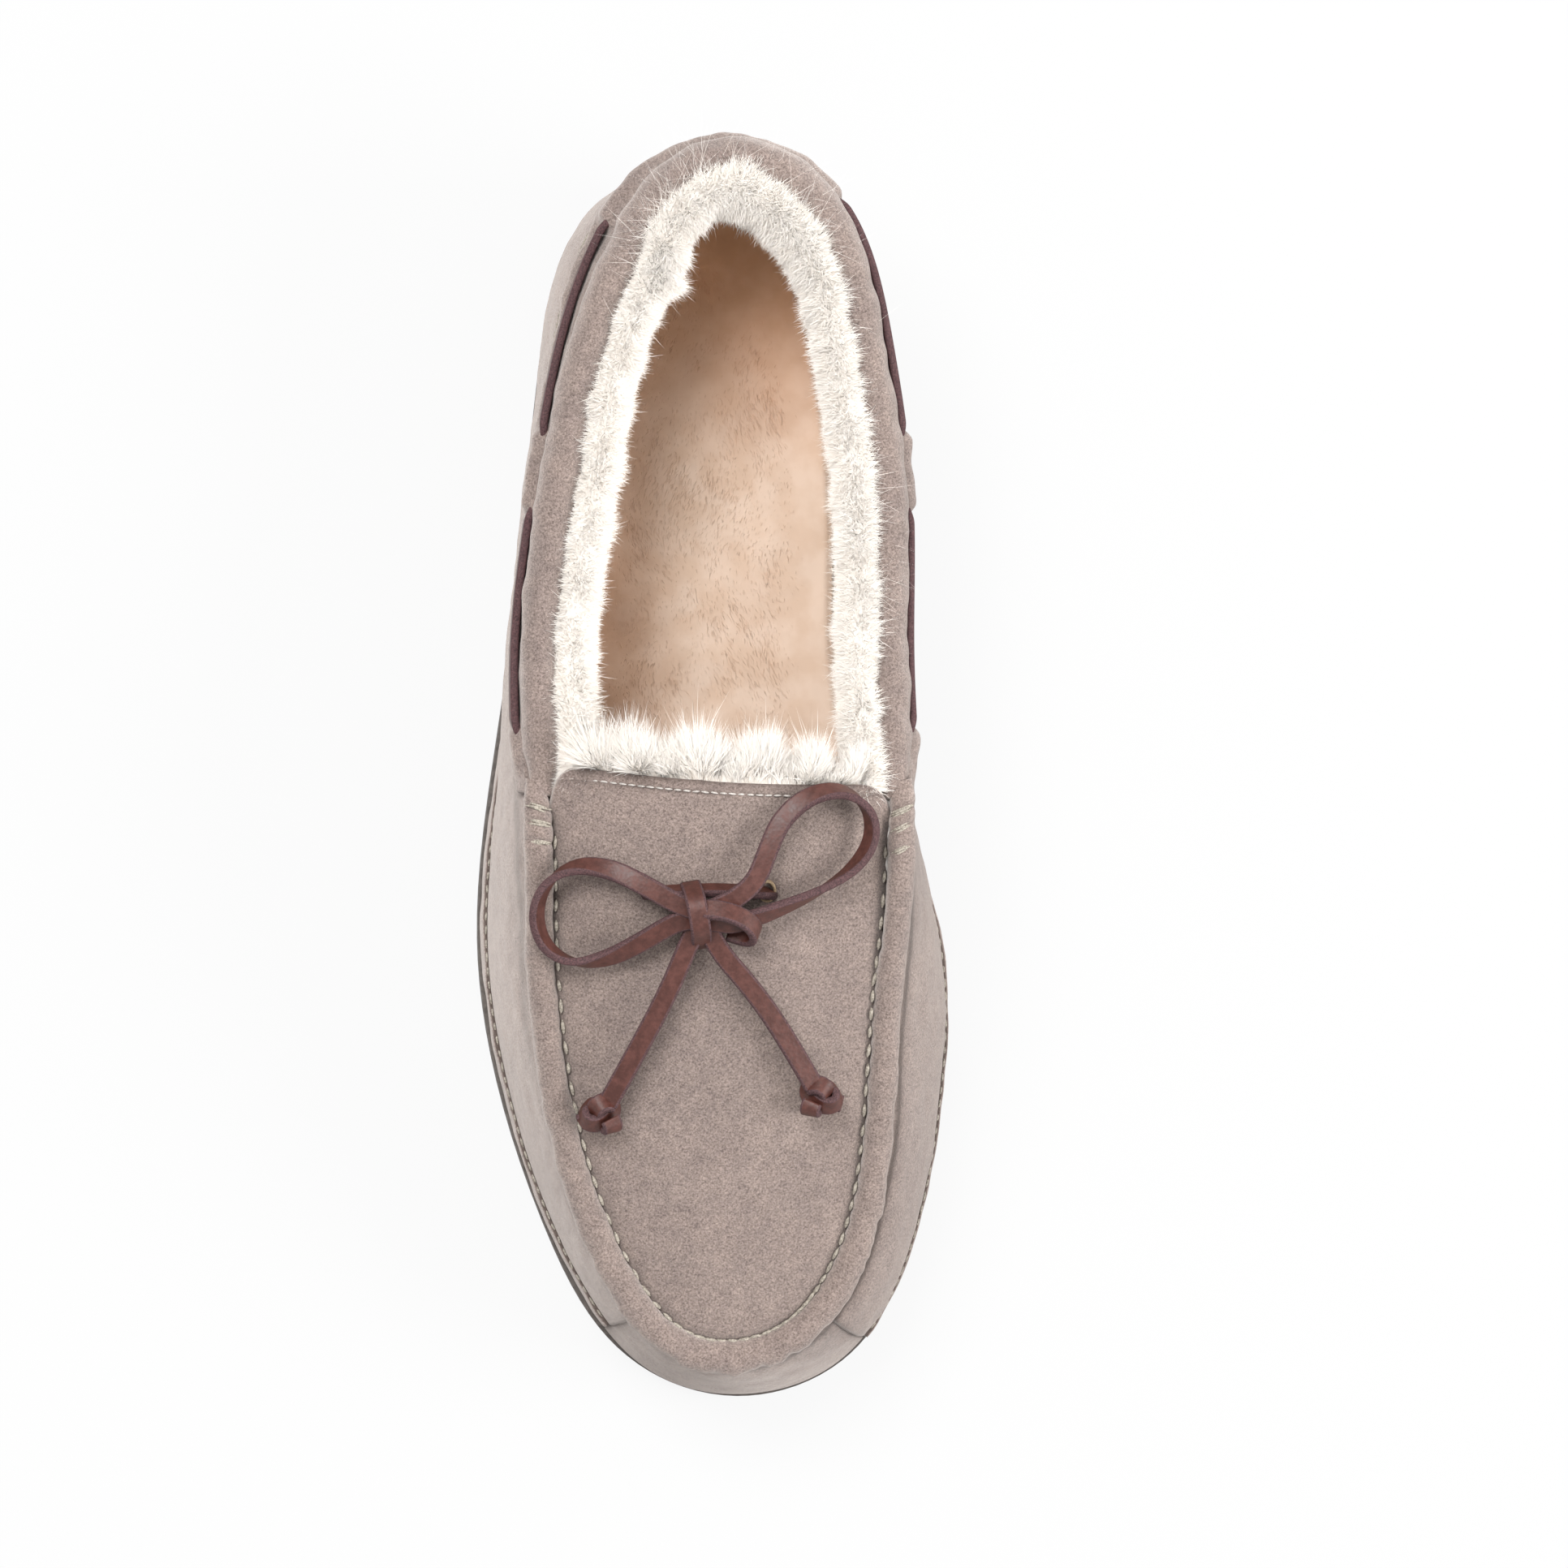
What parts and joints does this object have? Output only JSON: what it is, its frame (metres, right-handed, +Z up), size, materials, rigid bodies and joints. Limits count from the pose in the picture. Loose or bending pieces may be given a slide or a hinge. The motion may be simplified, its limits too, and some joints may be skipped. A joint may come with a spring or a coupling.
{
  "type": "house slipper",
  "caption": "Closed-back moccasin house slipper in grey suede with a shearling lining, a rubber sole and a leather lace tied in a bow.",
  "frame": {"origin": "on the floor, under the middle of the slipper's box", "axes": "+Z up, toe towards -Y, heel towards +Y, big-toe (medial) side of this right-foot slipper at +X"},
  "size_m": [0.0955, 0.2546, 0.0708],
  "materials": {
    "suede": "brushed grey-taupe suede, matt nap",
    "lace_leather": "smooth reddish-brown grain leather, satin",
    "wool": "natural cream shearling pile",
    "sock_fleece": "short tan fleece pile",
    "thread": "twisted waxed thread",
    "rubber": "moulded matt rubber",
    "board": "pressed fibreboard",
    "foam": "open-cell foam"
  },
  "bodies": {
    "slipper": {"outsole": "rubber", "insole_board": "board", "footbed_foam": "foam", "insole_fleece": "sock_fleece", "foxing_band": "suede", "toe_cap": "suede", "quarter_medial": "suede", "quarter_lateral": "suede", "heel_counter": "board", "lining_quarters": "wool", "lining_forefoot": "wool", "apron_roll": "suede", "vamp_plug": "suede", "lining_vamp": "wool", "tongue_wool": "wool", "collar_cuff": "suede", "collar_wool": "wool", "collar_lace": "lace_leather", "collar_casing": "suede", "apron_stitching": "thread", "tongue_topstitch": "thread", "foxing_stitching": "thread", "cuff_stitching": "thread", "back_seam_stitching": "thread", "bar_tacks_medial": "thread", "bar_tacks_lateral": "thread", "bow_knot": "lace_leather", "lace_bridge": "lace_leather"},
    "lateral_loop": {"loop_lateral": "lace_leather"},
    "medial_loop": {"loop_medial": "lace_leather"},
    "lateral_tail": {"tail_lateral": "lace_leather", "tail_knot_lateral": "lace_leather"},
    "medial_tail": {"tail_medial": "lace_leather", "tail_knot_medial": "lace_leather"}
  },
  "joints": [
    {"name": "lateral_loop_lift", "type": "hinge", "parent": "slipper", "child": "lateral_loop", "pos_m": [-0.013, -0.0279, 0.069], "axis": [0, 1, 0], "range_deg": [0, 30]},
    {"name": "medial_loop_lift", "type": "hinge", "parent": "slipper", "child": "medial_loop", "pos_m": [0.0003, -0.0275, 0.0696], "axis": [0, -1, 0], "range_deg": [0, 30]},
    {"name": "lateral_tail_lift", "type": "hinge", "parent": "slipper", "child": "lateral_tail", "pos_m": [-0.0094, -0.0348, 0.0665], "axis": [-0.9302, 0.3671, 0], "range_deg": [0, 40]},
    {"name": "medial_tail_lift", "type": "hinge", "parent": "slipper", "child": "medial_tail", "pos_m": [-0.0036, -0.0349, 0.0665], "axis": [-0.77, -0.638, 0], "range_deg": [0, 40]}
  ]
}
